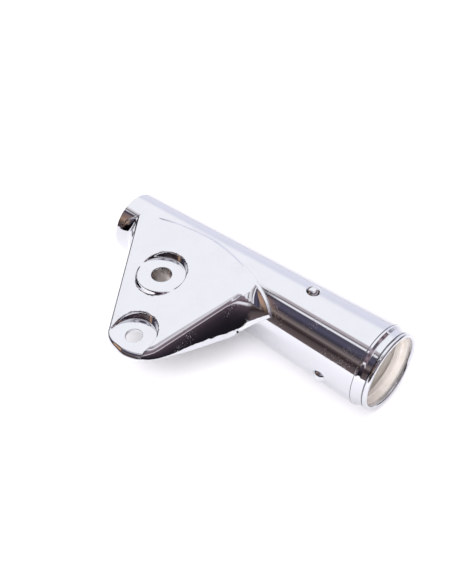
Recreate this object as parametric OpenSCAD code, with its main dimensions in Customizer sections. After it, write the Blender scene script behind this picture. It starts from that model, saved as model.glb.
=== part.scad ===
// Headlight mounting bracket for a motorcycle fork.
// A tapered fork tube with a seat collar at its lower end, and a pressed
// sheet ear that carries two bolt pads. X runs along the tube, from the upper
// end to the collar's mouth at X = 0. The ear reaches out towards -Y, and the
// bolts pass through the pads along Z.

/* [Fork tube] */
// Length of the tapered tube
tube_len = 209; // [190:1:230]
// Outer diameter at the upper end
tube_top_d = 44; // [42:0.5:48]
// Outer diameter where the tube meets the collar
tube_low_d = 57; // [55:0.5:60]
// Wall of the tube
tube_wall = 1.6; // [1.2:0.1:2.2]

/* [Collar] */
// Axial length of the collar
collar_len = 11; // [9:0.5:14]
// How far the back flange stands inside the tube's outer line
flange_drop = 0.2; // [0:0.1:1]
// Thickness of the back flange
flange_t = 1.6; // [1.2:0.1:2.4]
// Depth of the groove between the flange and the rim bead
groove_depth = 1.4; // [0.8:0.1:2]
// Radius of the rolled bead at the mouth
bead_r = 2; // [1.5:0.1:2.4]
// How far the seat's wall lies inside the tube's outer line
seat_step = 5.1; // [4.5:0.1:6]
// Depth of that seat from the mouth
seat_depth = 7.5; // [6:0.5:8]
// How far the lip at the bottom of the seat lies inside that line
lip_step = 7; // [6.5:0.1:8]

/* [Ear] */
// Sheet thickness of the pressed ear
sheet_t = 1.6; // [1.2:0.1:2]
// Slope of the plate against the bolt pads, in degrees
plate_tilt = 14; // [10:1:18]
// Lean of the side walls from the plate's normal, in degrees
wall_lean = 28; // [20:1:34]
// Radius of the pressed edge between the plate and the side walls
edge_r = 3; // [2:0.5:4]
// Height of the wall left under the plate at the tip
tip_wall = 4.6; // [3:0.2:6]
// Reach of the tip's end from the line where the plate leaves the tube
tip_reach = 92.6; // [89:0.2:97]
// Width of the ear at that line, between the side walls
root_w = 111; // [104:1:118]
// Distance from the tube's upper end to the middle of that width
root_back = 66.5; // [64:0.5:70]
// Radius of the tip's corner nearer the collar
tip_r = 20; // [17:0.5:22]
// Radius of the tip's other corner
tip_far_r = 14.6; // [13:0.2:16]
// Distance between the centres of the two corners, along the tube
tip_flat = 4.7; // [3:0.1:8]

/* [Wrap on the tube] */
// How far the arched wrap runs past the side walls, on the mean
wrap_over = 13.8; // [11:0.2:16]
// How much further it runs past the wall nearer the collar
wrap_shift = 6.5; // [4:0.5:9]
// How far the wrap climbs past the line where the plate leaves the tube
wrap_rise = 7.4; // [5:0.2:9]
// How far the wrap's feet reach down from that line
wrap_foot = 19; // [16:0.5:21]
// Slope of the feet's lower edge, in degrees
foot_slope = 43; // [35:1:50]

/* [Bolt pads] */
// How far the upper bolt lies from the ear's middle, towards the upper end
bolt1_along = 3.9; // [0:0.1:8]
// How far it lies down the plate
bolt1_down = 32.8; // [31:0.2:35]
// How far the upper pad's face lies under the plate at the bolt
pad1_drop = 1.05; // [0.5:0.05:2]
// Diameter of the upper pad
pad1_d = 34; // [32:0.5:35]
// How far the lower bolt lies from the ear's middle, towards the collar
bolt2_along = 12.2; // [8:0.1:15]
// How far it lies inside the tip's end
bolt2_in = 14.6; // [13.5:0.1:17]
// How far the lower pad's face lies under the plate at the bolt
pad2_drop = 2.75; // [2:0.05:4]
// Diameter of the lower pad
pad2_d = 31; // [29:0.5:32]
// Bore of the upper bolt hole and of its bush
bolt1_d = 13.6; // [12:0.2:14.5]
// Diameter of the lower bolt hole
bolt2_d = 11; // [9:0.5:12]

/* [Bolt bush] */
// Outer diameter of the bush behind the upper pad
bush_d = 20; // [18:0.5:22]
// Length of the bush
bush_len = 14; // [12:0.5:15]

/* [Domed plugs] */
// Diameter of the plug's head
plug_head_d = 9.6; // [8:0.2:11]
// Height of the head over the tube
plug_head_h = 3; // [2.5:0.1:4]
// Diameter of the hole in the tube
plug_hole_d = 6; // [5:0.5:7]
// Distance from the mouth to the upper plug
plug1_x = 65; // [60:1:68]
// Angle of the upper plug round the tube, from straight up
plug1_turn = -9; // [-14:1:0]
// Distance from the mouth to the lower plug
plug2_x = 35; // [30:1:42]
// Angle of the lower plug round the tube, from straight up
plug2_turn = 101; // [96:1:112]

/* [Hidden] */
eps = 0.01;
far = 400;
// the tube's cone, as radius over distance from the mouth
collar_x = -collar_len;
top_x = collar_x - tube_len;
low_r = tube_low_d / 2;
top_r = tube_top_d / 2;
grow = (low_r - top_r) / tube_len;
taper = atan(grow);
function cone_r(x) = low_r + grow * (x - collar_x);
// collar radii
seat_d = tube_low_d - 2 * seat_step;
lip_d = tube_low_d - 2 * lip_step;
flange_r = low_r - flange_drop;
groove_r = flange_r - groove_depth;
bead_mid_r = groove_r + 0.5 - bead_r;
// ear outline, in the plate's own plane: x from the mouth, y from the line
// where the plate leaves the tube
root_r = 4;
root_mid = tube_len + collar_len - root_back;
wrap_mid = root_mid - wrap_shift;
wrap_half = root_w / 2 + wrap_over;
left_x = -root_mid - root_w / 2;
right_x = -root_mid + root_w / 2;
fillet_run = edge_r * tan((90 - wall_lean) / 2);
// the plate's line over the tube, and its height over any point of the plan
plate_r = cone_r(0) + sheet_t;
function plate_z(x, y) = y * tan(plate_tilt) + (plate_r + x * tan(taper)) / cos(plate_tilt);
bolt1_x = root_mid + bolt1_along;
bolt1_y = plate_r * sin(plate_tilt) + bolt1_down * cos(plate_tilt);
pad1_z = plate_z(-bolt1_x, -bolt1_y) - pad1_drop;
bolt2_x = root_mid - bolt2_along;
tip1_x = -bolt2_x;
tip2_x = tip1_x - tip_flat;
tip_y = plate_r * sin(plate_tilt) + tip_reach * cos(plate_tilt);
bolt2_y = tip_y - bolt2_in;
pad2_z = plate_z(-bolt2_x, -bolt2_y) - pad2_drop;
edge_z = plate_z(-bolt2_x, -tip_y) - tip_wall;
tip_c1 = [tip1_x, tip_r - tip_reach];
tip_c2 = [tip2_x, tip_far_r + 0.2 - tip_reach];
wall_depth = plate_r + 12;
rim_land = 0.5;
// the tip's outline in plan, drawn in by a margin: two corner arcs and the root
function tip_arc(cx, cy, r, a0, a1) = [for (i = [0 : 16]) let (a = a0 + (a1 - a0) * i / 16)
    [cx + r * cos(a), cy + r * sin(a)]];
function tip_outline(m) = concat(
    tip_arc(tip_c2[0], tip_c2[1], tip_far_r - m, 212, 270),
    tip_arc(tip_c1[0], tip_c1[1], tip_r - m, 270, 340),
    [[right_x - 2 * root_r - m, 0], [left_x + 2 * root_r + m, 0]]);
// the pressed edge as levels of [outward offset, depth], then the side wall
function edge_level(a) = [edge_r * sin(a) - fillet_run, edge_r * (1 - cos(a))];
edge_levels = [for (i = [0 : 4]) edge_level(i * (90 - wall_lean) / 4)];
function wall_off(depth) = depth * tan(wall_lean);
pad_bore_fn = 96;
skirt_fn = 48;

// puts what follows on the plane of the plate
module on_plate() {
    rotate([plate_tilt, 0, 0])
        translate([0, 0, plate_r])
            rotate([0, -taper, 0])
                children();
}

// a solid cone along the tube, grown outwards by a sheet
module tube_cone(out, x0, x1, fn = 144) {
    translate([x0, 0, 0])
        rotate([0, 90, 0])
            cylinder(h = x1 - x0, r1 = cone_r(x0) + out, r2 = cone_r(x1) + out, $fn = fn);
}

// one flat layer of the ear at an outward offset and a depth
module ear_layer(off, depth) {
    for (c = [[tip_c1[0], tip_c1[1], tip_r], [tip_c2[0], tip_c2[1], tip_far_r],
              [left_x + root_r, 0, root_r], [right_x - root_r, 0, root_r]])
        translate([c[0], c[1], -depth - eps])
            cylinder(h = eps, r = max(c[2] + off, 0.1), $fn = 32);
}

// the ear as a closed form; skin is how far it lies inside the outer face
module ear_form(skin) {
    on_plate()
        intersection() {
            hull() {
                for (l = edge_levels)
                    ear_layer(l[0] - skin, l[1] + skin);
                ear_layer(wall_off(wall_depth) - skin / cos(wall_lean), wall_depth);
            }
            translate([-far / 2 - root_mid, -far, -far / 2])
                cube([far, far, far]);
            under_arch();
        }
}

// the arch of the wrap, in the plate's own plane
function arch_y(u) = -wrap_foot + (wrap_foot + wrap_rise)
    * (u < 0 ? sqrt(max(0, 1 - u * u)) : pow(max(0, 1 - pow(u, 1.5)), 1 / 1.5));
arch = concat([for (i = [-24 : 24]) let (u = sin(i * 90 / 24)) [-wrap_mid + wrap_half * u, arch_y(u)]],
    [[-wrap_mid + wrap_half, -far / 4], [-wrap_mid - wrap_half, -far / 4]]);

// everything that lies below the arch, in the plate's own frame
module under_arch() {
    translate([0, 0, -far / 4])
        linear_extrude(far / 2)
            polygon(arch);
}

// the feet's lower edge, seen from the side
foot_top = 40;
foot_run = foot_top / tan(foot_slope);
wall_foot_r = right_x + 2;
wall_foot_l = left_x + 2;
foot_side = [[wall_foot_l, edge_z], [wall_foot_r, edge_z],
    [wall_foot_r + foot_run, edge_z + foot_top], [wall_foot_l - foot_run, edge_z + foot_top]];

// the sheet that lies on the tube
module wrap() {
    intersection() {
        difference() {
            tube_cone(sheet_t, top_x, collar_x);
            tube_cone(0, top_x - 1, collar_x + 1);
        }
        on_plate()
            under_arch();
        rotate([90, 0, 0])
            translate([0, 0, -far / 4])
                linear_extrude(far / 2)
                    polygon(foot_side);
    }
}

// a round column on a bolt's axis
module bolt_column(x, y, d, z0, z1) {
    translate([-x, -y, z0])
        cylinder(h = z1 - z0, d = d, $fn = pad_bore_fn);
}

// the lower pad's column, kept within the ear's rim
module tip_column(d, z0, z1, skin) {
    intersection() {
        bolt_column(bolt2_x, bolt2_y, d, z0, z1);
        on_plate()
            translate([0, 0, -wall_depth / 2])
                linear_extrude(wall_depth)
                    polygon(tip_outline(rim_land + skin));
    }
}

module fork_tube() {
    color("gainsboro")
        difference() {
            tube_cone(0, top_x, collar_x);
            tube_cone(-tube_wall, top_x - 1, collar_x + 1);
            at_plug(plug1_x, plug1_turn)
                cylinder(h = 2 * plug_head_d, d = plug_hole_d, center = true, $fn = 64);
            at_plug(plug2_x, plug2_turn)
                cylinder(h = 2 * plug_head_d, d = plug_hole_d, center = true, $fn = 64);
        }
}

module lower_collar() {
    bead_x = -bead_r;
    color("silver")
        rotate([0, 90, 0])
            rotate_extrude($fn = 180)
                union() {
                    polygon([
                        [lip_d / 2, -collar_len], [flange_r - 0.6, -collar_len],
                        [flange_r, -collar_len + 0.6], [flange_r, -collar_len + flange_t],
                        [groove_r, -collar_len + flange_t + 1], [groove_r, bead_x],
                        [seat_d / 2, bead_x], [seat_d / 2, -seat_depth],
                        [lip_d / 2, -seat_depth]
                    ]);
                    translate([bead_mid_r, bead_x])
                        circle(r = bead_r, $fn = 40);
                }
}

module ear_shell() {
    color("gainsboro")
        difference() {
            union() {
                ear_form(0);
                wrap();
                bolt_column(bolt1_x, bolt1_y, pad1_d, edge_z, pad1_z);
                tip_column(pad2_d, edge_z, pad2_z, 0);
            }
            // the faces over the pads
            bolt_column(bolt1_x, bolt1_y, pad1_d - 2 * sheet_t, pad1_z, far / 4);
            bolt_column(bolt2_x, bolt2_y, pad2_d - 2 * sheet_t, pad2_z, far / 4);
            // the hollow behind the plate, with the pads' floors left in
            difference() {
                union() {
                    ear_form(sheet_t);
                    bolt_column(bolt1_x, bolt1_y, pad1_d - 2 * sheet_t, edge_z - 1, pad1_z - sheet_t);
                    tip_column(pad2_d - 2 * sheet_t, edge_z - 1, pad2_z - sheet_t, sheet_t);
                }
                bolt_column(bolt1_x, bolt1_y, pad1_d, pad1_z - sheet_t, far / 4);
                bolt_column(bolt2_x, bolt2_y, pad2_d, pad2_z - sheet_t, far / 4);
            }
            // the tube, and everything under the open edge
            tube_cone(0, top_x - 1, collar_x + 1);
            translate([-far, -far / 2, edge_z - far])
                cube([2 * far, far, far]);
            // the bolt holes
            bolt_column(bolt1_x, bolt1_y, bolt1_d, edge_z - 1, far / 4);
            bolt_column(bolt2_x, bolt2_y, bolt2_d, edge_z - 1, far / 4);
        }
}

module bolt_bush() {
    color("slategray")
        difference() {
            bolt_column(bolt1_x, bolt1_y, bush_d, pad1_z - sheet_t - bush_len, pad1_z - sheet_t);
            bolt_column(bolt1_x, bolt1_y, bolt1_d, pad1_z - sheet_t - bush_len - 1, pad1_z);
        }
}

// puts what follows on the tube's outer face, at a distance from the mouth
module at_plug(x, turn) {
    rotate([turn, 0, 0])
        translate([-x, 0, cone_r(-x)])
            children();
}

// a domed plug: head on the tube's face, stem through the wall, lip inside
module plug(x, turn) {
    color("silver")
        union() {
            difference() {
                at_plug(x, turn)
                    dome_head();
                tube_cone(0, top_x, collar_x);
            }
            at_plug(x, turn)
                translate([0, 0, -tube_wall - 2])
                    cylinder(h = tube_wall + 3, d = plug_hole_d, $fn = 64);
        }
}

// the head, turned from an arc
module dome_head() {
    r = plug_head_d / 2;
    ball = (r * r + plug_head_h * plug_head_h) / (2 * plug_head_h);
    rotate_extrude($fn = 64)
        polygon(concat([[0, -2], [r, -2]],
            [for (i = [0 : 10]) let (a = i * asin(min(1, r / ball)) / 10)
                [ball * sin(asin(min(1, r / ball)) - a), plug_head_h - ball + ball * cos(asin(min(1, r / ball)) - a)]]));
}

module top_plug() { plug(plug1_x, plug1_turn); }
module side_plug() { plug(plug2_x, plug2_turn); }

fork_tube();
lower_collar();
ear_shell();
bolt_bush();
top_plug();
side_plug();
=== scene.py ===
"""Looks of the headlight mounting bracket: a chromed fork tube with a seat collar and a pressed ear.

X runs along the tube to the collar's mouth at X = 0, the ear reaches towards -Y and the bolts run along Z.
Shapes are worked out in millimetres and put into the meshes in metres.
"""

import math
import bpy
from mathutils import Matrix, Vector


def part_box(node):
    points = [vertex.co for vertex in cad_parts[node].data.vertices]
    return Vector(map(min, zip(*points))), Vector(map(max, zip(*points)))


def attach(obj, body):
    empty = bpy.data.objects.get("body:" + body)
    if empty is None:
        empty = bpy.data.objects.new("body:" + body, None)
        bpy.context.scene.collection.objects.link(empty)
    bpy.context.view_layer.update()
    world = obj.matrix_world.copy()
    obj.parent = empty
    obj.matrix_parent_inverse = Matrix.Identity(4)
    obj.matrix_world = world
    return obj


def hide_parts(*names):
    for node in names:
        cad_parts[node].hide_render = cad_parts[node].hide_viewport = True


bl_info = {
    "name": "Headlight mounting bracket",
    "version": (1, 0, 0),
    "blender": (4, 5, 0),
    "location": "View3D > Sidebar > Bracket",
    "description": "Dresses the fork-tube headlight bracket and sets its studio stage",
    "category": "Object",
}

import bpy
import numpy as np
from bpy.props import FloatProperty, FloatVectorProperty, PointerProperty, StringProperty
from mathutils import Matrix, Vector
from mathutils.geometry import delaunay_2d_cdt

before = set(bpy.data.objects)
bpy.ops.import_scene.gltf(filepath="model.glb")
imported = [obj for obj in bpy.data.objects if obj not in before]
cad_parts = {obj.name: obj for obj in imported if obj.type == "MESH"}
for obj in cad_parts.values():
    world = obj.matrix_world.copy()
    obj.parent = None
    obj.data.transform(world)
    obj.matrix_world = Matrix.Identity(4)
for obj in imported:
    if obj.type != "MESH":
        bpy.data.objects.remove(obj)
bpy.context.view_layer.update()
TUBE_LOW, TUBE_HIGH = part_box("fork_tube")
MM = 0.001


def length(name, description, default):
    """A length property, in metres."""
    return FloatProperty(name=name, description=description, default=default, min=0, unit="LENGTH", precision=5)


def angle(name, description, degrees):
    """An angle property, kept in radians and given here in degrees."""
    return FloatProperty(name=name, description=description, default=math.radians(degrees), subtype="ANGLE")


def hex_colour(name, description, default):
    """A colour property, as six sRGB hex digits."""
    return StringProperty(name=name, description=description, default=default)


def power(name, description, default):
    """A lamp's power property, in watts."""
    return FloatProperty(name=name, description=description, default=default, min=0, unit="POWER")


def mm(metres):
    """Metres as millimetres."""
    return metres / MM


class TubeSizes(bpy.types.PropertyGroup):
    """Sizes of the tapered tube and the collar at its lower end."""

    top_radius: length("Upper radius", "Outer radius at the tube's upper end", 0.022)
    low_radius: length("Lower radius", "Outer radius where the tube meets the collar", 0.0285)
    wall: length("Wall", "Wall of the tube", 0.0016)
    collar_length: length("Collar length", "Axial length of the collar", 0.011)
    flange_radius: length("Flange radius", "Outer radius of the collar's back flange", 0.0283)
    groove_radius: length("Groove radius", "Radius of the neck between flange and bead", 0.0269)
    bead_radius: length("Bead radius", "Radius of the rolled bead round the mouth", 0.0016)
    seat_radius: length("Seat radius", "Radius of the seat inside the mouth", 0.0234)
    seat_depth: length("Seat depth", "Depth of the seat from the mouth", 0.0075)
    lip_radius: length("Lip radius", "Radius of the lip at the bottom of the seat", 0.0215)


class EarSizes(bpy.types.PropertyGroup):
    """Sizes of the pressed ear and of the wrap that carries it on the tube."""

    sheet: length("Sheet", "Sheet thickness", 0.0016)
    tilt: angle("Plate tilt", "Slope of the plate against the bolt pads", 14)
    lean: angle("Wall lean", "Lean of the collar side's wall from the plate's normal", 31)
    far_lean: angle("Far wall lean", "Lean of the other side's wall", 16)
    shoulder: length("Shoulder", "How far the collar side's wall bows out under the pressed edge", 0.0018)
    shoulder_run: length("Shoulder run", "Depth over which it bows out", 0.0035)
    lip_lean: angle("Lip lean", "Lean of the steeper strip along that wall's lower edge", 18)
    lip_height: length("Lip height", "Height of that strip's top over the tube's axis", 0.0014)
    edge: length("Edge", "Softness of the pressed edge", 0.0027)
    root_left: length("Root, upper end", "Where the plate's left corner leaves the tube, from the mouth", 0.209)
    root_right: length("Root, collar end", "Where its right corner leaves the tube, from the mouth", 0.098)
    tip_reach: length("Tip reach", "Reach of the tip's end down the plate", 0.0926)
    tip_radius: length("Tip radius", "Radius of the tip's corner nearer the collar", 0.020)
    far_radius: length("Far tip radius", "Radius of the tip's other corner", 0.0146)
    tip_place: length("Tip place", "Distance from the mouth of the nearer corner's centre", 0.1413)
    tip_flat: length("Tip flat", "Distance between the two corners' centres", 0.0047)
    lower_edge: length("Lower edge", "How far the open edge lies under the tube's axis", 0.0018)
    tip_rise: length("Tip rise", "How much higher the open edge lies round the tip", 0.0019)
    flare: length("Flare", "Softness of the corner where the walls run out on the tube", 0.0115)
    wrap_place: length("Wrap place", "Middle of the arched wrap, from the mouth", 0.147)
    wrap_half: length("Wrap half", "Half of the wrap's length along the tube", 0.0693)
    wrap_rise: length("Wrap rise", "How far the wrap climbs past the plate's line", 0.0074)
    wrap_foot: length("Wrap foot", "How far the wrap's feet reach down from that line", 0.019)
    foot_slope: angle("Foot slope", "Slope of the feet's lower edge", 43)
    seam: length("Seam step", "Height of the dressed seam over the tube", 0.0005)
    seam_run: length("Seam run", "Width over which the sheet thins out to the seam", 0.0025)


class PadSizes(bpy.types.PropertyGroup):
    """Sizes and places of the two level bolt pads, their holes and the bush."""

    upper_along: length("Upper bolt, along", "Distance of the upper bolt from the mouth", 0.1574)
    upper_out: length("Upper bolt, out", "Distance of the upper bolt from the tube's axis", 0.03919)
    upper_height: length("Upper pad height", "Height of the upper pad over the axis", 0.015508)
    upper_radius: length("Upper pad radius", "Radius of the upper pad", 0.0168)
    upper_bore: length("Upper bore", "Radius of the upper bolt hole", 0.0068)
    lower_along: length("Lower bolt, along", "Distance of the lower bolt from the mouth", 0.1413)
    lower_out: length("Lower bolt, out", "Distance of the lower bolt from the tube's axis", 0.0826)
    lower_height: length("Lower pad height", "Height of the lower pad over the axis", 0.0035)
    lower_radius: length("Lower pad radius", "Radius of the lower pad", 0.0153)
    lower_bore: length("Lower bore", "Radius of the lower bolt hole", 0.0055)
    step_soft: length("Step softness", "Half width of the pads' stepped edge", 0.0008)
    bush_radius: length("Bush radius", "Outer radius of the bush", 0.010)
    bush_length: length("Bush length", "Length of the bush", 0.014)


class PlugSizes(bpy.types.PropertyGroup):
    """Sizes and places of the two domed plugs on the tube."""

    head_radius: length("Head radius", "Radius of a plug's head", 0.0048)
    head_height: length("Head height", "Height of the head over the tube", 0.003)
    stem_radius: length("Stem radius", "Radius of the stem in the tube's hole", 0.003)
    top_along: length("Top plug, along", "Distance of the top plug from the mouth", 0.065)
    top_turn: angle("Top plug, turn", "Angle round the tube from straight up, towards the ear", -9)
    side_along: length("Side plug, along", "Distance of the side plug from the mouth", 0.035)
    side_turn: angle("Side plug, turn", "Angle round the tube from straight up, towards the ear", 101)


class Finishes(bpy.types.PropertyGroup):
    """Colours of the finishes."""

    chrome: hex_colour("Chrome", "Face colour of the bright chrome", "C4C5C9")
    satin: hex_colour("Satin", "Face colour of the thin plating inside the bores", "F6F3F0")
    steel: hex_colour("Bush steel", "Face colour of the plain steel bush", "CFC9C4")
    table: hex_colour("Table", "Colour of the white table", "FBFBFD")


class StageSizes(bpy.types.PropertyGroup):
    """Camera and stage."""

    camera_place: FloatVectorProperty(
        name="Camera", description="Where the camera stands", default=(0.1903, -0.3648, 0.4754), unit="LENGTH"
    )
    lens: FloatProperty(name="Lens", description="Focal length on a 36 mm sensor", default=79.65, min=1.0)
    table_half: length("Table half", "Half width of the table", 3.0)
    overhead: power("Overhead light", "Power of the overhead softbox", 5.0)
    front: power("Front light", "Power of the front softbox", 38.0)


GROUPS = {
    "bracket_tube": TubeSizes,
    "bracket_ear": EarSizes,
    "bracket_pads": PadSizes,
    "bracket_plugs": PlugSizes,
    "bracket_finishes": Finishes,
    "bracket_stage": StageSizes,
}


# Meshes

# points on a profile's rounded corner, the fillet under which it stays sharp, and the smallest radius, in mm
ARC_STEPS = 6
SHARP = 0.02
TINY = 1e-3
# turns what is made round X to stand round Z
X_TO_Z = np.array([[0, 0, -1], [0, 1, 0], [1, 0, 0]], float)


def put_mesh(name, points, faces, corner_normals, node, slot, material):
    """Makes a piece from points in mm, rows of corners and each corner's normal, hangs it under the root body
    and hides the CAD node that it stands in for.
    """
    mesh = bpy.data.meshes.new(name)
    faces = [np.asarray(f, np.int32) for f in faces]
    sizes = np.concatenate([np.full(len(f), f.shape[1], np.int32) for f in faces])
    corners = np.concatenate([f.ravel() for f in faces])
    starts = np.concatenate([[0], np.cumsum(sizes)[:-1]]).astype(np.int32)
    mesh.vertices.add(len(points))
    mesh.vertices.foreach_set("co", (np.asarray(points, float) * MM).astype(np.float32).ravel())
    mesh.loops.add(len(corners))
    mesh.loops.foreach_set("vertex_index", corners)
    mesh.polygons.add(len(sizes))
    mesh.polygons.foreach_set("loop_start", starts)
    mesh.polygons.foreach_set("use_smooth", np.ones(len(sizes), bool))
    mesh.update(calc_edges=True)
    mesh.validate()
    normals = np.concatenate([np.asarray(n, float).reshape(-1, 3) for n in corner_normals])
    normals /= np.linalg.norm(normals, axis=1, keepdims=True) + 1e-12
    mesh.normals_split_custom_set(normals.tolist())
    piece = bpy.data.objects.new(name, mesh)
    bpy.context.scene.collection.objects.link(piece)
    mesh.materials.append(material)
    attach(piece, "root")
    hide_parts(node)


def rounded_profile(corners):
    """Closed outline of (along, radius) points, with outward normals, from corners (along, radius, fillet).
    Each corner is an arc tangent to both its sides; they run so that the solid lies on the left."""
    points, normals = [], []
    count = len(corners)
    for i in range(count):
        before, here, after = (np.array(corners[(i + k) % count][:2], float) for k in (-1, 0, 1))
        d_in, d_out = here - before, after - here
        d_in /= np.linalg.norm(d_in)
        d_out /= np.linalg.norm(d_out)
        turn = math.atan2(d_in[0] * d_out[1] - d_in[1] * d_out[0], float(d_in @ d_out))
        radius = max(corners[i][2], TINY)
        side = 1 if turn > 0 else -1
        reach = radius * math.tan(abs(turn) / 2)
        n_in = np.array([d_in[1], -d_in[0]])
        centre = here - d_in * reach - n_in * radius * side
        steps = ARC_STEPS if corners[i][2] > SHARP else 1
        for k in range(steps + 1):
            c, d = math.cos(turn * k / steps), math.sin(turn * k / steps)
            n = np.array([n_in[0] * c - n_in[1] * d, n_in[0] * d + n_in[1] * c])
            points.append(centre + n * radius * side)
            normals.append(n)
    return np.array(points), np.array(normals)


def arc_points(centre, radius, start, end, steps):
    """Points and outward normals on an arc of the profile, from one angle to another in degrees."""
    a = np.radians(np.linspace(start, end, steps + 1))
    n = np.stack([np.cos(a), np.sin(a)], 1)
    return np.array(centre) + radius * n, n


def revolve(points, normals, turns, closed=True):
    """Carries a profile (along, radius) round the X axis: point = (along, radius cos t, radius sin t).
    Returns points, faces and corner normals, with fans at the axis where the profile isn't closed."""
    count = len(points)
    t = np.linspace(0, 2 * np.pi, turns, endpoint=False)
    c, s = np.cos(t)[:, None], np.sin(t)[:, None]
    along, along_n = (np.broadcast_to(p[:, 0], (turns, count)) for p in (points, normals))
    ring = np.stack([along, points[:, 1] * c, points[:, 1] * s], -1)
    ring_n = np.stack([along_n, normals[:, 1] * c, normals[:, 1] * s], -1)
    j, i = np.meshgrid(np.arange(turns), np.arange(count if closed else count - 1), indexing="ij")
    j2, i2 = (j + 1) % turns, (i + 1) % count
    quads = np.stack([j2 * count + i, j2 * count + i2, j * count + i2, j * count + i], -1).reshape(-1, 4)
    vertices, n_all = ring.reshape(-1, 3), ring_n.reshape(-1, 3)
    if closed:
        return outward(vertices, [quads], n_all)
    # both ends lie on the axis: their rings become single points and fans
    first, last = turns * count, turns * count + 1
    vertices = np.concatenate([vertices, [[points[0, 0], 0, 0]], [[points[-1, 0], 0, 0]]])
    n_all = np.concatenate([n_all, [[normals[0, 0], 0, 0]], [[normals[-1, 0], 0, 0]]])
    r, r2 = np.arange(turns), (np.arange(turns) + 1) % turns
    fan_a = np.stack([np.full(turns, first), r * count, r2 * count], -1)[:, ::-1]
    fan_b = np.stack([np.full(turns, last), r2 * count + count - 1, r * count + count - 1], -1)[:, ::-1]
    return outward(vertices, [quads, fan_a, fan_b], n_all)


def outward(vertices, faces, normals):
    """Turns the faces over if they run against their points' normals, and gives each corner its normal."""
    f = faces[0]
    face_n = np.cross(vertices[f[:, 1]] - vertices[f[:, 0]], vertices[f[:, 2]] - vertices[f[:, 0]])
    if (face_n * normals[f].mean(1)).sum() < 0:
        faces = [x[:, ::-1] for x in faces]
    return vertices, faces, [normals[x.ravel()] for x in faces]


# The ear's surface


def eased(t):
    """Smooth step from 0 to 1: 3 t^2 - 2 t^3, with t held between them."""
    t = np.clip(t, 0, 1)
    return t * t * (3 - 2 * t)


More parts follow.
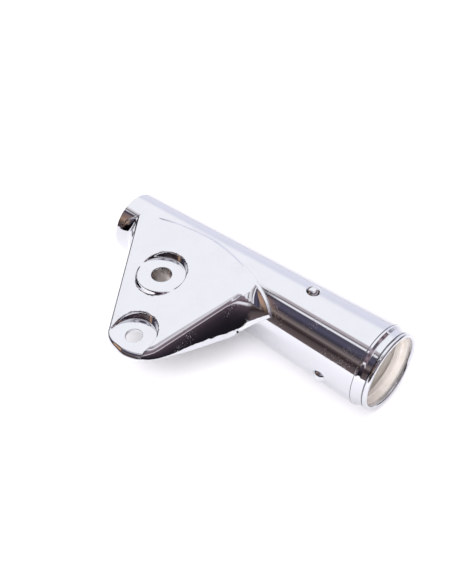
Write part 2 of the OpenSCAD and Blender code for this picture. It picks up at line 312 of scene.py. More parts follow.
class EarShape:
    """The ear's outer face as one height over the plate's plane, all in mm.
    The height is the zero of a field: a plate with two level pads, rounded over into leaning side walls, and
    joined by a soft corner to the sheet that wraps the tube."""

    # radius of the outline's corners under the tube, and how far the tip's far corner stays back
    ROOT_CORNER, FAR_BACK = 4.0, 0.2
    # how far down the plate the open edge starts to rise, and over what length
    RISE_FROM, RISE_OVER = 58.0, 30.0
    # where along the tube the walls turn from the far one's form to the near one's
    NEAR_FROM, NEAR_OVER = 156.0, 20.0
    # how far down the plate the near wall's strip starts, and over what length it grows
    STRIP_FROM, STRIP_OVER = 88.0, 30.0
    # softness of the strip's top, and how far over it it is cut off
    STRIP_SOFT, STRIP_CUT = 0.6, 9.0
    # rounding of the holes' edges, and the depth over which a wall's softness to the tube grows
    HOLE_ROUND, WALL_BLEND = 0.5, 6.0
    # power of the arch's curve on the collar's side, and how far inside the root the feet's edges start
    ARCH_POWER, FOOT_INSET = 1.5, 2.0
    # the middle that the rim's rays start from, their number, and the nearest and farthest rim
    MIDDLE, RAYS, RIM_RANGE = (-147.0, -25.5), 2400, (4.0, 110.0)
    # highest and lowest place of the face, how much of the tube it clears, and the step of its slopes
    TOP, BOTTOM, CLEAR, SLOPE_STEP = 6.0, -48.0, 4.0, 0.02

    def __init__(self, tube, ear, pads):
        self.low_r, self.collar = mm(tube.low_radius), mm(tube.collar_length)
        self.grow = (tube.low_radius - tube.top_radius) / (TUBE_HIGH.x - TUBE_LOW.x)
        self.taper = math.atan(self.grow)
        self.sheet = mm(ear.sheet)
        self.plate_r = self.low_r + self.grow * self.collar + self.sheet
        self.to_world = (
            Matrix.Rotation(ear.tilt, 4, "X")
            @ Matrix.Translation((0, 0, self.plate_r))
            @ Matrix.Rotation(-self.taper, 4, "Y")
        )
        self.m = np.array(self.to_world)
        self.back = np.array(self.to_world.inverted())
        self.tan, self.far_tan, self.lip_tan = (math.tan(a) for a in (ear.lean, ear.far_lean, ear.lip_lean))
        self.shoulder, self.shoulder_run = mm(ear.shoulder), mm(ear.shoulder_run)
        self.lip = mm(ear.lip_height)
        self.edge, self.flare = mm(ear.edge), mm(ear.flare)
        self.edge_z, self.tip_rise = -mm(ear.lower_edge), mm(ear.tip_rise)
        self.left, self.right = -mm(ear.root_left), -mm(ear.root_right)
        self.wrap = (-mm(ear.wrap_place), mm(ear.wrap_half), mm(ear.wrap_rise), mm(ear.wrap_foot))
        self.foot = math.tan(ear.foot_slope)
        self.foot_cos = math.cos(ear.foot_slope)
        self.seam, self.seam_run = mm(ear.seam), mm(ear.seam_run)
        upper = (-pads.upper_along, -pads.upper_out, pads.upper_height, pads.upper_radius, pads.upper_bore)
        lower = (-pads.lower_along, -pads.lower_out, pads.lower_height, pads.lower_radius, pads.lower_bore)
        self.bolts = [tuple(mm(v) for v in bolt) for bolt in (upper, lower)]
        self.soft = mm(pads.step_soft)
        tip, end, flat = -mm(ear.tip_place), -mm(ear.tip_reach), mm(ear.tip_flat)
        near, far = mm(ear.tip_radius), mm(ear.far_radius)
        root = self.ROOT_CORNER
        self.circles = [
            (self.left + root, 0.0, root),
            (tip - flat, end + self.FAR_BACK + far, far),
            (tip, end + near, near),
            (self.right - root, 0.0, root),
        ]
        self.sides = self.outline_sides()

    def outline_sides(self):
        """The straight tangents of the outline's circles, anticlockwise: (start, end, outward normal)."""
        out = []
        for (x1, y1, r1), (x2, y2, r2) in zip(self.circles, self.circles[1:] + self.circles[:1]):
            d = np.array([x2 - x1, y2 - y1])
            span = np.linalg.norm(d)
            d /= span
            sine = (r1 - r2) / span
            n = math.sqrt(1 - sine * sine) * np.array([d[1], -d[0]]) + sine * d
            out.append((np.array([x1, y1]) + r1 * n, np.array([x2, y2]) + r2 * n, n))
        return out

    def outline_offset(self, x, y):
        """Distance in the plate's plane to the outline's nearest side or arc, positive outside."""
        best = np.full(np.shape(x), -1e3)
        for i, (a, b, n) in enumerate(self.sides):
            d = b - a
            t = ((x - a[0]) * d[0] + (y - a[1]) * d[1]) / (d @ d)
            o = (x - a[0]) * n[0] + (y - a[1]) * n[1]
            best = np.where((t >= 0) & (t <= 1) & (np.abs(o) < np.abs(best)), o, best)
            cx, cy, r = self.circles[i]
            n0 = self.sides[i - 1][2]
            dx, dy = x - cx, y - cy
            inside = (n0[0] * dy - n0[1] * dx >= 0) & (dx * n[1] - dy * n[0] >= 0)
            o = np.hypot(dx, dy) - r
            best = np.where(inside & (np.abs(o) < np.abs(best)), o, best)
        return best

    def outline_points(self, spacing):
        """Points along the outline's part below the tube, with their outward normals."""
        pts, nor = [], []
        for i in range(3):
            a, b, n = self.sides[i]
            if i:
                cx, cy, r = self.circles[i]
                n0 = self.sides[i - 1][2]
                a0, a1 = math.atan2(n0[1], n0[0]), math.atan2(n[1], n[0])
                a1 += 2 * math.pi if a1 < a0 else 0
                k = np.linspace(a0, a1, max(3, int(r * (a1 - a0) / spacing)))[:-1]
                ring = np.stack([np.cos(k), np.sin(k)], 1)
                pts.append(np.array([cx, cy]) + r * ring)
                nor.append(ring)
            k = np.linspace(0, 1, int(np.linalg.norm(b - a) / spacing))[:, None]
            pts.append(a + (b - a) * k)
            nor.append(np.broadcast_to(n, (len(k), 2)))
        return np.concatenate(pts), np.concatenate(nor)

    def world(self, x, y, z):
        """From the plate's frame to the part's."""
        p = np.stack([x, y, z, np.ones_like(x)])
        w = self.m @ p.reshape(4, -1)
        return [w[i].reshape(np.shape(x)) for i in range(3)]

    def plate(self, wx, wy, wz):
        """From the part's frame to the plate's."""
        w = self.back @ np.stack([wx, wy, wz, np.ones_like(wx)]).reshape(4, -1)
        return [w[i].reshape(np.shape(wx)) for i in range(3)]

    def open_edge(self, y):
        """Height of the open lower edge, level along the sides and a little higher round the tip."""
        return self.edge_z + self.tip_rise * eased((-y - self.RISE_FROM) / self.RISE_OVER)

    def seam_gap(self, x, y, wx, wz):
        """How far a point lies inside the wrap's arch and its feet's lower edges. The arch is half an ellipse
        towards the upper end, and towards the collar its two shares to the power 1.5 add up to 1."""
        place, half, rise, foot = self.wrap
        u = np.clip((x - place) / half, -1, 1)
        left = np.sqrt(np.clip(1 - u * u, 0, 1))
        right = np.clip(1 - np.abs(u) ** self.ARCH_POWER, 0, 1) ** (1 / self.ARCH_POWER)
        arch = -foot + (foot + rise) * np.where(u < 0, left, right) - y
        arch = np.where(np.abs(x - place) > half, half - np.abs(x - place), arch)
        over = np.maximum(wx - (self.right + self.FOOT_INSET), (self.left + self.FOOT_INSET) - wx)
        feet = (wz - self.edge_z - over * self.foot) * self.foot_cos
        return arch, feet

    def sheet_here(self, x, y, wx, wz):
        """Thickness of the sheet: thinned to the dressed seam along the wrap's edge."""
        arch, feet = self.seam_gap(x, y, wx, wz)
        return self.seam + (self.sheet - self.seam) * eased(np.minimum(arch, feet) / self.seam_run)

    def field(self, x, y, z):
        """Negative inside the dressed form, the smaller of the pressed body and the wrapped tube. The body is
        the larger of the plate's face and the side walls. Where a pair a and b is nearer than k, the square
        of k - |a - b| over 4k is added to round the body's edge, and taken off to fill the tube's corner."""
        wx, wy, wz = self.world(x, y, z)
        face = z
        for i, (bx, by, pz, pr, hr) in enumerate(self.bolts):
            dx, dy = wx - bx, wy - by
            rho = np.hypot(dx, dy)
            reach = rho if i == 0 else np.hypot(dx, np.maximum(dy, 0))
            s = eased((pr + self.soft - reach) / (2 * self.soft))
            q = np.clip(1 - (rho - hr) / self.HOLE_ROUND, 0, 1)
            drop = self.HOLE_ROUND * (1 - np.sqrt(np.clip(1 - q * q, 0, 1)))
            face = face * (1 - s) + (wz - pz + drop) * s
        # the far wall stands steeper; the near one bows out under its edge and ends in a steeper strip
        near = eased((x + self.NEAR_FROM) / self.NEAR_OVER)
        lean = self.far_tan + (self.tan - self.far_tan) * near
        drop = np.maximum(-z, 0)
        bow = near * self.shoulder * (1 - np.exp(-drop / self.shoulder_run))
        strip = np.clip((y + self.STRIP_FROM) / self.STRIP_OVER, 0, 1) * near
        low = self.open_edge(y)
        below = low + (self.lip - low) * eased(strip) - wz
        soft_lip = 0.5 * (below + np.sqrt(below * below + self.STRIP_SOFT**2)) * (below > -self.STRIP_CUT)
        side = self.outline_offset(x, y) + z * lean - bow + soft_lip * (lean - self.lip_tan)
        side = side / np.sqrt(1 + lean * lean)
        body = np.maximum(face, side) + np.maximum(self.edge - np.abs(face - side), 0) ** 2 / (4 * self.edge)
        body = np.maximum(body, y)
        tube = np.hypot(wy, wz) - (self.low_r + self.grow * (wx + self.collar)) - self.sheet_here(x, y, wx, wz)
        tube *= math.cos(self.taper)
        stand = self.plate_r - np.sqrt(np.clip(self.plate_r**2 - np.minimum(y, 0) ** 2, 0, None))
        wallish = eased(0.5 + (side - face) / self.WALL_BLEND)
        k = np.maximum(np.minimum(self.flare, 2.0 * stand) * wallish, 1e-4)
        return np.minimum(body, tube) - np.maximum(k - np.abs(body - tube), 0) ** 2 / (4 * k)

    def height(self, x, y):
        """The height of the face over the plate's plane, found by halving."""
        high = np.full(np.shape(x), self.TOP)
        low = np.where(np.abs(y) < self.plate_r - self.CLEAR, -self.plate_r + 0.5, self.BOTTOM)
        for _ in range(34):
            mid = (low + high) / 2
            solid = self.field(x, y, mid) < 0
            low, high = np.where(solid, mid, low), np.where(solid, high, mid)
        return (low + high) / 2

    def normal(self, x, y, z):
        """Outward normal from the field's slopes, in the part's frame."""
        h = self.SLOPE_STEP
        g = np.stack(
            [
                self.field(x + h, y, z) - self.field(x - h, y, z),
                self.field(x, y + h, z) - self.field(x, y - h, z),
                self.field(x, y, z + h) - self.field(x, y, z - h),
            ],
            -1,
        )
        g = g @ self.m[:3, :3].T
        return g / (np.linalg.norm(g, axis=-1, keepdims=True) + 1e-12)

    def kept(self, x, y):
        """True inside the arch and the feet and above the open lower edge."""
        z = self.height(x, y)
        wx, _, wz = self.world(x, y, z)
        arch, feet = self.seam_gap(x, y, wx, wz)
        return (arch > 0) & (feet > 0) & (wz > self.open_edge(y))

    def rim(self, spacing):
        """The face's outer boundary, found along rays from its middle, evenly spaced along its length."""
        cx, cy = self.MIDDLE
        a = np.linspace(-np.pi, np.pi, self.RAYS, endpoint=False)
        r, high = (np.full(self.RAYS, limit) for limit in self.RIM_RANGE)
        for _ in range(30):
            mid = (r + high) / 2
            ok = self.kept(cx + mid * np.cos(a), cy + mid * np.sin(a))
            r, high = np.where(ok, mid, r), np.where(ok, high, mid)
        x, y = cx + r * np.cos(a), cy + r * np.sin(a)
        run = np.concatenate([[0], np.cumsum(np.hypot(np.diff(x, append=x[0]), np.diff(y, append=y[0])))])
        count = int(run[-1] / spacing)
        where = np.arange(count) * run[-1] / count
        angles = np.interp(where, run, np.append(a, np.pi))
        return angles, np.interp(where, run, np.append(r, r[0]))


# spacing of the points along the ear's rim, the holes, the pads' steps and the outline, in mm
RIM_STEP, HOLE_STEP, PAD_STEP, LINE_STEP = 0.8, 0.4, 0.6, 0.7
# how far out from a hole, from a pad's step and from the outline a line of points lies
HOLE_LINES = (0.0, 0.06, 0.16, 0.3, 0.5, 0.8)
PAD_LINES = np.arange(-1.3, 1.31, 0.2)
OUTLINE_LINES = np.concatenate([np.arange(-3.6, 1.3, 0.28), np.arange(1.5, 9.0, 0.45)])
# the triangular grid's step, its rows' distance as a share of it, and the plan that it covers
GRID_STEP, ROW_SHARE, GRID_X, GRID_Y = 0.85, 0.866, (-218, -76), (-101, 9)
# the finer band where the plate goes over into the wrap, and its steps
BAND_Y, BAND_STEPS = (-27, -12), (0.7, 0.4)
# more cells than a row can hold, so that row and place make one number
CELL_ROW = 100003
# how far the lines of points and the grid stay from the rim, the holes and what lies there before them, in mm
RIM_GAPS, HOLE_GAPS, POINT_GAPS = (0.5, 0.7), (0.03, 0.6), (0.2, 0.3)


def scattered_points(shape):
    """Points over the plate's plane that follow the ear's features: its boundary, rings at the pads and holes,
    lines beside the pressed edge and down the walls, and a fine triangular grid between them."""
    angles, radii = shape.rim(RIM_STEP)
    cx, cy = shape.MIDDLE
    edge = np.stack([cx + radii * np.cos(angles), cy + radii * np.sin(angles)], 1)
    holes, features = [], []

    def ring(bolt, out, count):
        """Points round a bolt in the plate's plane, and which of them lie on the tube's side of it."""
        bx, by, pz, _, _ = bolt
        t = np.linspace(0, 2 * np.pi, count, endpoint=False)
        wx, wy = bx + out * np.cos(t), by + out * np.sin(t)
        x, y, _ = shape.plate(wx, wy, np.full(count, pz))
        return np.stack([x, y], 1), wy > by - 1

    for i, bolt in enumerate(shape.bolts):
        pad, hole = bolt[3:]
        for k, out in enumerate(HOLE_LINES):
            (features if k else holes).append(ring(bolt, hole + out, int(2 * np.pi * hole / HOLE_STEP))[0])
        for out in PAD_LINES:
            points, upper = ring(bolt, pad + out, int(2 * np.pi * pad / PAD_STEP))
            features.append(points[upper] if i else points)
    line, normal = shape.outline_points(LINE_STEP)
    features = np.concatenate(features + [line + out * normal for out in OUTLINE_LINES])
    rows = np.arange(*GRID_Y, GRID_STEP * ROW_SHARE)
    gx, gy = np.meshgrid(np.arange(*GRID_X, GRID_STEP), rows, indexing="ij")
    gx = gx + (np.arange(gx.shape[1]) % 2) * GRID_STEP / 2
    fx, fy = np.meshgrid(np.arange(*GRID_X, BAND_STEPS[0]), np.arange(*BAND_Y, BAND_STEPS[1]), indexing="ij")
    grid = np.concatenate([np.stack([fx.ravel(), fy.ravel()], 1), np.stack([gx.ravel(), gy.ravel()], 1)])

    def inside(p, margin):
        """True where a point is nearer the middle than the rim at its angle is, less the margin."""
        a = np.arctan2(p[:, 1] - cy, p[:, 0] - cx)
        r = np.hypot(p[:, 0] - cx, p[:, 1] - cy)
        return r < np.interp(a, angles, radii, period=2 * np.pi) - margin

    def off_holes(p, margin):
        """True where a point of the face is farther from both bolts than their holes and the margin."""
        ok = np.ones(len(p), bool)
        z = shape.height(p[:, 0], p[:, 1])
        wx, wy, _ = shape.world(p[:, 0], p[:, 1], z)
        for bx, by, _, _, hr in shape.bolts:
            ok &= np.hypot(wx - bx, wy - by) > hr + margin
        return ok

    def thin(p, taken, gap):
        """Keeps one point a cell, and none in or beside a cell that is taken."""
        cell = lambda q: np.floor(q / gap).astype(np.int64) @ [CELL_ROW, 1]
        busy = [cell(taken) + i * CELL_ROW + j for i in (-1, 0, 1) for j in (-1, 0, 1)]
        p = p[~np.isin(cell(p), np.unique(np.concatenate(busy)))]
        _, first = np.unique(cell(p), return_index=True)
        return p[np.sort(first)]

    features, grid = (p[inside(p, gap)] for p, gap in zip((features, grid), RIM_GAPS))
    features, grid = (p[off_holes(p, gap)] for p, gap in zip((features, grid), HOLE_GAPS))
    features = thin(features, edge, POINT_GAPS[0])
    grid = thin(grid, np.concatenate([features, edge]), POINT_GAPS[1])
    return edge, holes, np.concatenate([features, grid]), inside


# share by which the sheet thins at a pad's step, and the half width of that, in mm
STEP_THIN, STEP_WIDE = 0.3, 1.2
# how far the cut rim bulges, in mm, at which shares of its width, and how far its normals turn over
RIM_BULGE, RIM_LEVELS, RIM_TURN = 0.3, (0.2, 0.5, 0.8), 0.6


def ear_mesh(shape):
    """Closed shell of the ear: the outer face, an inner face one sheet below it, a rounded rim between them
    and the walls of the two holes."""
    edge, holes, rest, inside = scattered_points(shape)
    loops, start = [], 0
    for loop in (edge, *holes):
        loops.append(np.arange(start, start + len(loop)))
        start += len(loop)
    flat = np.concatenate([edge, *holes, rest])
    borders = [(int(a), int(b)) for loop in loops for a, b in zip(loop, np.roll(loop, -1))]
    result = delaunay_2d_cdt([Vector(p) for p in flat.tolist()], borders, [], 0, 1e-6, True)
    verts, tris = np.array([tuple(v) for v in result[0]]), np.array(result[2])
    place = {old: new for new, olds in enumerate(result[3]) for old in olds}
    loops = [np.array([place[i] for i in loop.tolist()]) for loop in loops]
    middle = verts[tris].mean(1)
    keep = inside(middle, -0.02)
    for loop in loops[1:]:
        keep &= ~np.isin(tris, loop).all(1)
    tris = tris[keep]
    x, y = verts[:, 0], verts[:, 1]
    z = shape.height(x, y)
    for loop, (_, _, pz, _, _) in zip(loops[1:], shape.bolts):
        # the hole's own ring lies at the foot of its rounding
        wx, wy, _ = shape.world(x[loop], y[loop], z[loop])
        x[loop], y[loop], z[loop] = shape.plate(wx, wy, np.full(len(loop), pz - shape.HOLE_ROUND))
    n = shape.normal(x, y, z)
    wx, wy, wz = shape.world(x, y, z)
    outer = np.stack([wx, wy, wz], 1)
    sheet = shape.sheet_here(x, y, wx, wz)
    for loop, (bx, by, _, pr, _) in zip(loops[1:], shape.bolts):
        rho = np.hypot(wx - bx, wy - by)
        n[loop] = np.stack([bx - wx, by - wy, np.zeros_like(wx)], 1)[loop] / rho[loop, None]
        sheet = sheet * (1 - STEP_THIN * np.exp(-(((rho - pr) / STEP_WIDE) ** 2)))
    down = n.copy()
    down[np.concatenate(loops[1:])] = [0.0, 0.0, 1.0]
    inner = outer - down * sheet[:, None]
    count = len(outer)
    ab, ac = outer[tris[:, 1]] - outer[tris[:, 0]], outer[tris[:, 2]] - outer[tris[:, 0]]
    wrong = (np.cross(ab, ac) * n[tris].mean(1)).sum(1) < 0
    tris = np.where(wrong[:, None], tris[:, ::-1], tris)
    points, faces = [outer, inner], [tris, tris[:, ::-1] + count]
    corner_n = [n[tris.ravel()], -n[tris[:, ::-1].ravel()]]
    base = 2 * count
    for which, loop in enumerate(loops):
        hole = which > 0
        p, q = outer[loop], inner[loop]
        along = np.roll(p, -1, 0) - np.roll(p, 1, 0)
        up = np.broadcast_to([0.0, 0.0, 1.0], p.shape) if hole else n[loop]
        out = np.cross(along, up)
        out /= np.linalg.norm(out, axis=1, keepdims=True)
        if hole and (out * (p - p.mean(0))).sum() > 0:
            out = -out
        bulge, turn, levels = (0.0, 0.0, (0.5,)) if hole else (RIM_BULGE, RIM_TURN, RIM_LEVELS)
        size = np.linalg.norm(p - q, axis=1, keepdims=True)
        rings, ring_n = [loop], [out + up * turn]
        for t in levels:
            swell = bulge * math.sin(math.pi * t) * np.minimum(size, 1.0)
            points.append(p + (q - p) * t + out * swell)
            rings.append(base + np.arange(len(loop)))
            ring_n.append(out + up * turn * (1 - 2 * t))
            base += len(loop)
        rings.append(loop + count)
        ring_n.append(out - up * turn)
        for (ra, na), (rb, nb) in zip(zip(rings, ring_n), zip(rings[1:], ring_n[1:])):
            ra2, rb2 = np.roll(ra, -1), np.roll(rb, -1)
            quad = np.stack([ra, rb, rb2, ra2], 1)
            normal = np.stack([na, nb, np.roll(nb, -1, 0), np.roll(na, -1, 0)], 1)
            allp = np.concatenate(points)
            face_n = np.cross(allp[quad[:, 1]] - allp[quad[:, 0]], allp[quad[:, 2]] - allp[quad[:, 0]])
            if (face_n * normal.mean(1)).sum() < 0:
                quad, normal = quad[:, ::-1], normal[:, ::-1]
            faces.append(quad)
            corner_n.append(normal.reshape(-1, 3))
    return np.concatenate(points), faces, corner_n


# Finishes


def linear(code):
    """Six sRGB hex digits as linear red, green, blue and one."""
    c = np.array([int(code[i : i + 2], 16) for i in (0, 2, 4)]) / 255
    c = np.where(c <= 0.04045, c / 12.92, ((c + 0.055) / 1.055) ** 2.4)
    return (*c.tolist(), 1.0)


def add_node(tree, kind, values=None, links=None, **settings):
    """One node with its socket values, links from other nodes' sockets and settings."""
    node = tree.nodes.new("ShaderNode" + kind)
    for key, value in settings.items():
        setattr(node, key, value)
    for key, value in (values or {}).items():
        node.inputs[key].default_value = value
    for key, socket in (links or {}).items():
        tree.links.new(socket, node.inputs[key])
    return node


def new_material(name):
    """An empty node material and its node tree."""
    material = bpy.data.materials.new(name)
    material.use_nodes = True
    material.node_tree.nodes.clear()
    return material, material.node_tree


def on_object(tree):
    """The link that lays a pattern out by Object coordinates."""
    return {"Vector": add_node(tree, "TexCoord").outputs["Object"]}


def dress(tree, values, links):
    """Ends a material's tree with its shader and the output."""
    shader = add_node(tree, "BsdfPrincipled", values, links)
    add_node(tree, "OutputMaterial", {}, {"Surface": shader.outputs["BSDF"]})


# how many to a metre: pits 0.9 mm apart, their patches about 11 mm and the buffing waves about 14 mm long
PITS, PIT_PATCHES, BUFFING = 1100.0, 90.0, 70.0


def bright_chrome(name, colour, grit=1.0):
    """Decorative chrome plate over polished steel: a near mirror, a little cold in colour.
    Fine pits about 0.9 mm apart, drawn coarser than real ones so that they show, stand in loose patches and
    scatter light; long buffing waves bend the reflections a little."""
    material, tree = new_material(name)
    spot = on_object(tree)
    pits = add_node(tree, "TexVoronoi", {"Scale": PITS}, spot)
    dots = add_node(tree, "MapRange", {"From Min": 0.42, "From Max": 0.2}, {"Value": pits.outputs[0]})
    patches = add_node(tree, "TexNoise", {"Scale": PIT_PATCHES, "Detail": 3.0}, spot)
    amount = {"From Min": 0.48, "From Max": 0.66, "To Min": 0.08 * grit, "To Max": min(1.0, 0.7 * grit)}
    where = add_node(tree, "MapRange", amount, {"Value": patches.outputs["Fac"]})
    both = {0: dots.outputs["Result"], 1: where.outputs["Result"]}
    worn = add_node(tree, "Math", {}, both, operation="MULTIPLY")
    waves = add_node(tree, "TexNoise", {"Scale": BUFFING, "Detail": 2.0}, spot).outputs["Fac"]
    haze = add_node(tree, "MapRange", {"To Min": 0.016, "To Max": 0.42}, {"Value": worn.outputs[0]}).outputs[0]
    bent = add_node(tree, "Bump", {"Strength": 0.03 * grit, "Distance": 0.0004}, {"Height": waves}).outputs[0]
    tint = add_node(tree, "Mix", {6: linear(colour), 7: linear("C9CAD0")}, {0: waves}, data_type="RGBA")
    dress(tree, {"Metallic": 1.0}, {"Base Color": tint.outputs[2], "Roughness": haze, "Normal": bent})
    return material


def turned_steel(name, colour, roughness):
    """Plain steel cut on a lathe: grey, with tool rings about 0.6 mm apart, coarser than real ones so that
    they show, that spread its highlights."""
    material, tree = new_material(name)
    spot = on_object(tree)
    marks = {"Scale": 500.0, "Distortion": 0.6, "Detail": 1.0}
    rings = add_node(tree, "TexWave", marks, spot, wave_type="BANDS", bands_direction="Z").outputs["Fac"]
    stain = add_node(tree, "TexNoise", {"Scale": 220.0, "Detail": 3.0}, spot).outputs["Fac"]
    tint = add_node(tree, "Mix", {6: linear(colour), 7: linear("9E948C")}, {0: stain}, data_type="RGBA")
    span = {"From Min": 0.3, "From Max": 0.7, "To Min": roughness - 0.06, "To Max": roughness + 0.08}
    rough = add_node(tree, "MapRange", span, {"Value": stain}).outputs[0]
    bent = add_node(tree, "Bump", {"Strength": 0.15, "Distance": 0.0001}, {"Height": rings}).outputs[0]
    dress(tree, {"Metallic": 1.0}, {"Base Color": tint.outputs[2], "Roughness": rough, "Normal": bent})
    return material


def inner_plating(material, satin, limit, slope, roughness):
    """Changes a chrome below a radius of limit + slope x: inside the bores the plating is thin, so that it is
    paler, dull and warm there, with soft brown streaks, and no longer mirrors."""
    tree = material.node_tree
    shader = next(n for n in tree.nodes if n.type == "BSDF_PRINCIPLED")
    spot = on_object(tree)
    x, y, z = add_node(tree, "SeparateXYZ", {}, spot).outputs
    flat = add_node(tree, "CombineXYZ", {}, {"Y": y, "Z": z})
    radius = add_node(tree, "VectorMath", {}, {"Vector": flat.outputs["Vector"]}, operation="LENGTH")
    level = add_node(tree, "Math", {1: -slope}, {0: x, 2: radius.outputs["Value"]}, operation="MULTIPLY_ADD")
    border = {"From Min": limit + 0.0002, "From Max": limit - 0.0002}
    inside = add_node(tree, "MapRange", border, {"Value": level.outputs[0]}).outputs["Result"]
    streaks = add_node(tree, "TexNoise", {"Scale": 120.0, "Detail": 4.0}, spot)
    colours = {6: linear(satin), 7: linear("DCD2C8")}
    stain = add_node(tree, "Mix", colours, {0: streaks.outputs["Fac"]}, data_type="RGBA")
    colour = {0: inside, 6: shader.inputs["Base Color"].links[0].from_socket, 7: stain.outputs[2]}
    mixed = add_node(tree, "Mix", {}, colour, data_type="RGBA")
    tree.links.new(mixed.outputs[2], shader.inputs["Base Color"])
    haze = {0: inside, 2: shader.inputs["Roughness"].links[0].from_socket}
    mixed = add_node(tree, "Mix", {3: roughness}, haze)
    tree.links.new(mixed.outputs[0], shader.inputs["Roughness"])
    mixed = add_node(tree, "Mix", {2: 1.0, 3: 0.0}, {0: inside})
    tree.links.new(mixed.outputs[0], shader.inputs["Metallic"])


# Operators

# how strong the chrome's pits and waves are on the turned pieces and on the pressed one
TURNED_GRIT, PRESSED_GRIT = 1.3, 1.4
# how many steps the turned pieces have round their axis
TUBE_TURNS, BUSH_TURNS, PLUG_TURNS = 256, 128, 64
# the collar in mm: its flange's flat part, where the slope beside it ends, how high the bead stands over the
# neck, and the crease between them, deep and wide
FLAT, SLOPE_END, BEAD_STAND, CREASE_DEPTH, CREASE_WIDTH = 1.5, 4.0, 0.5, 0.9, 0.35
# how deep a plug's skirt and stem reach under the tube's face, and the small hole at its poles, in mm
SKIRT_END, STEM_END, POLE = -0.9, -3.6, 0.02


class BRACKET_OT_tube(bpy.types.Operator):
    """Makes the tapered fork tube, a cone's wall with rounded ends."""

    bl_idname = "bracket.tube"
    bl_label = "Fork tube"

    def execute(self, context):
        s, finishes = context.scene.bracket_tube, context.scene.bracket_finishes
        x0, x1 = mm(TUBE_LOW.x), mm(TUBE_HIGH.x)
        r0, r1, w = mm(s.top_radius), mm(s.low_radius), mm(s.wall)
        profile = rounded_profile([(x0, r0 - w, 0.5), (x1, r1 - w, 0.0), (x1, r1, 0.25), (x0, r0, 0.6)])
        chrome = bright_chrome("bright_chrome_tube", finishes.chrome, TURNED_GRIT)
        grow = (r1 - r0) / (x1 - x0)
        inner_plating(chrome, finishes.satin, (r1 - w / 2 - grow * x1) * MM, grow, 0.6)
        put_mesh("tapered_tube", *revolve(*profile, TUBE_TURNS), "fork_tube", "tube_chrome", chrome)
        return {"FINISHED"}


class BRACKET_OT_collar(bpy.types.Operator):
    """Makes the collar: back flange, neck, rolled bead, seat and lip, as one turned profile."""

    bl_idname = "bracket.collar"
    bl_label = "Seat collar"

    def execute(self, context):
        s, finishes = context.scene.bracket_tube, context.scene.bracket_finishes
        x0, seat_x, b = -mm(s.collar_length), -mm(s.seat_depth), mm(s.bead_radius)
        flange, neck = mm(s.flange_radius), mm(s.groove_radius)
        seat, lip = mm(s.seat_radius), mm(s.lip_radius)
        bead, foot = (-b, neck + BEAD_STAND - b), neck - CREASE_DEPTH
        start = 180 - math.degrees(math.asin((foot - bead[1]) / b))
        gap = bead[0] + b * math.cos(math.radians(start)) - CREASE_WIDTH
        body, body_n = rounded_profile(
            [
                (-b, seat, 0.0),
                (seat_x, seat, 0.45),
                (seat_x, lip, 0.45),
                (x0, lip, 0.3),
                (x0, flange, 0.6),
                (x0 + FLAT, flange, 1.2),
                (x0 + SLOPE_END, neck + 0.1, 4.0),
                (gap, neck - 0.1, 0.12),
                (gap, foot, 0.0),
            ]
        )
        roll, roll_n = arc_points(bead, b, start, -90, 30)
        # these corners run the other way round, so their normals turn over; the bead replaces the first one
        points, normals = np.concatenate([body[2:], roll]), np.concatenate([-body_n[2:], roll_n])
        chrome = bright_chrome("bright_chrome_collar", finishes.chrome, TURNED_GRIT)
        inner_plating(chrome, finishes.satin, s.seat_radius + 0.0006, 0.0, 0.35)
        turned = revolve(points, normals, TUBE_TURNS)
        put_mesh("seat_collar", *turned, "lower_collar", "collar_chrome", chrome)
        return {"FINISHED"}


class BRACKET_OT_ear(bpy.types.Operator):
    """Makes the pressed ear with its pads, side walls and the wrap on the tube."""

    bl_idname = "bracket.ear"
    bl_label = "Pressed ear"

    def execute(self, context):
        scene = context.scene
        shape = EarShape(scene.bracket_tube, scene.bracket_ear, scene.bracket_pads)
        chrome = bright_chrome("bright_chrome_ear", scene.bracket_finishes.chrome, PRESSED_GRIT)
        put_mesh("pressed_ear", *ear_mesh(shape), "ear_shell", "ear_chrome", chrome)
        return {"FINISHED"}


class BRACKET_OT_bush(bpy.types.Operator):
    """Makes the bush behind the upper pad, a turned ring with rounded ends."""

    bl_idname = "bracket.bush"
    bl_label = "Bolt bush"

    def execute(self, context):
        pads, sheet = context.scene.bracket_pads, mm(context.scene.bracket_ear.sheet)
        top = mm(pads.upper_height) - sheet
        low = top - mm(pads.bush_length)
        hole, wide = mm(pads.upper_bore), mm(pads.bush_radius)
        profile = rounded_profile([(low, hole, 0.5), (top, hole, 0.15), (top, wide, 0.3), (low, wide, 0.5)])
        v, f, n = revolve(*profile, BUSH_TURNS)
        v = v @ X_TO_Z.T + [-mm(pads.upper_along), -mm(pads.upper_out), 0]
        steel = turned_steel("turned_steel_bush", context.scene.bracket_finishes.steel, 0.34)
        put_mesh("bolt_sleeve", v, f, [k @ X_TO_Z.T for k in n], "bolt_bush", "bush_steel", steel)
        return {"FINISHED"}


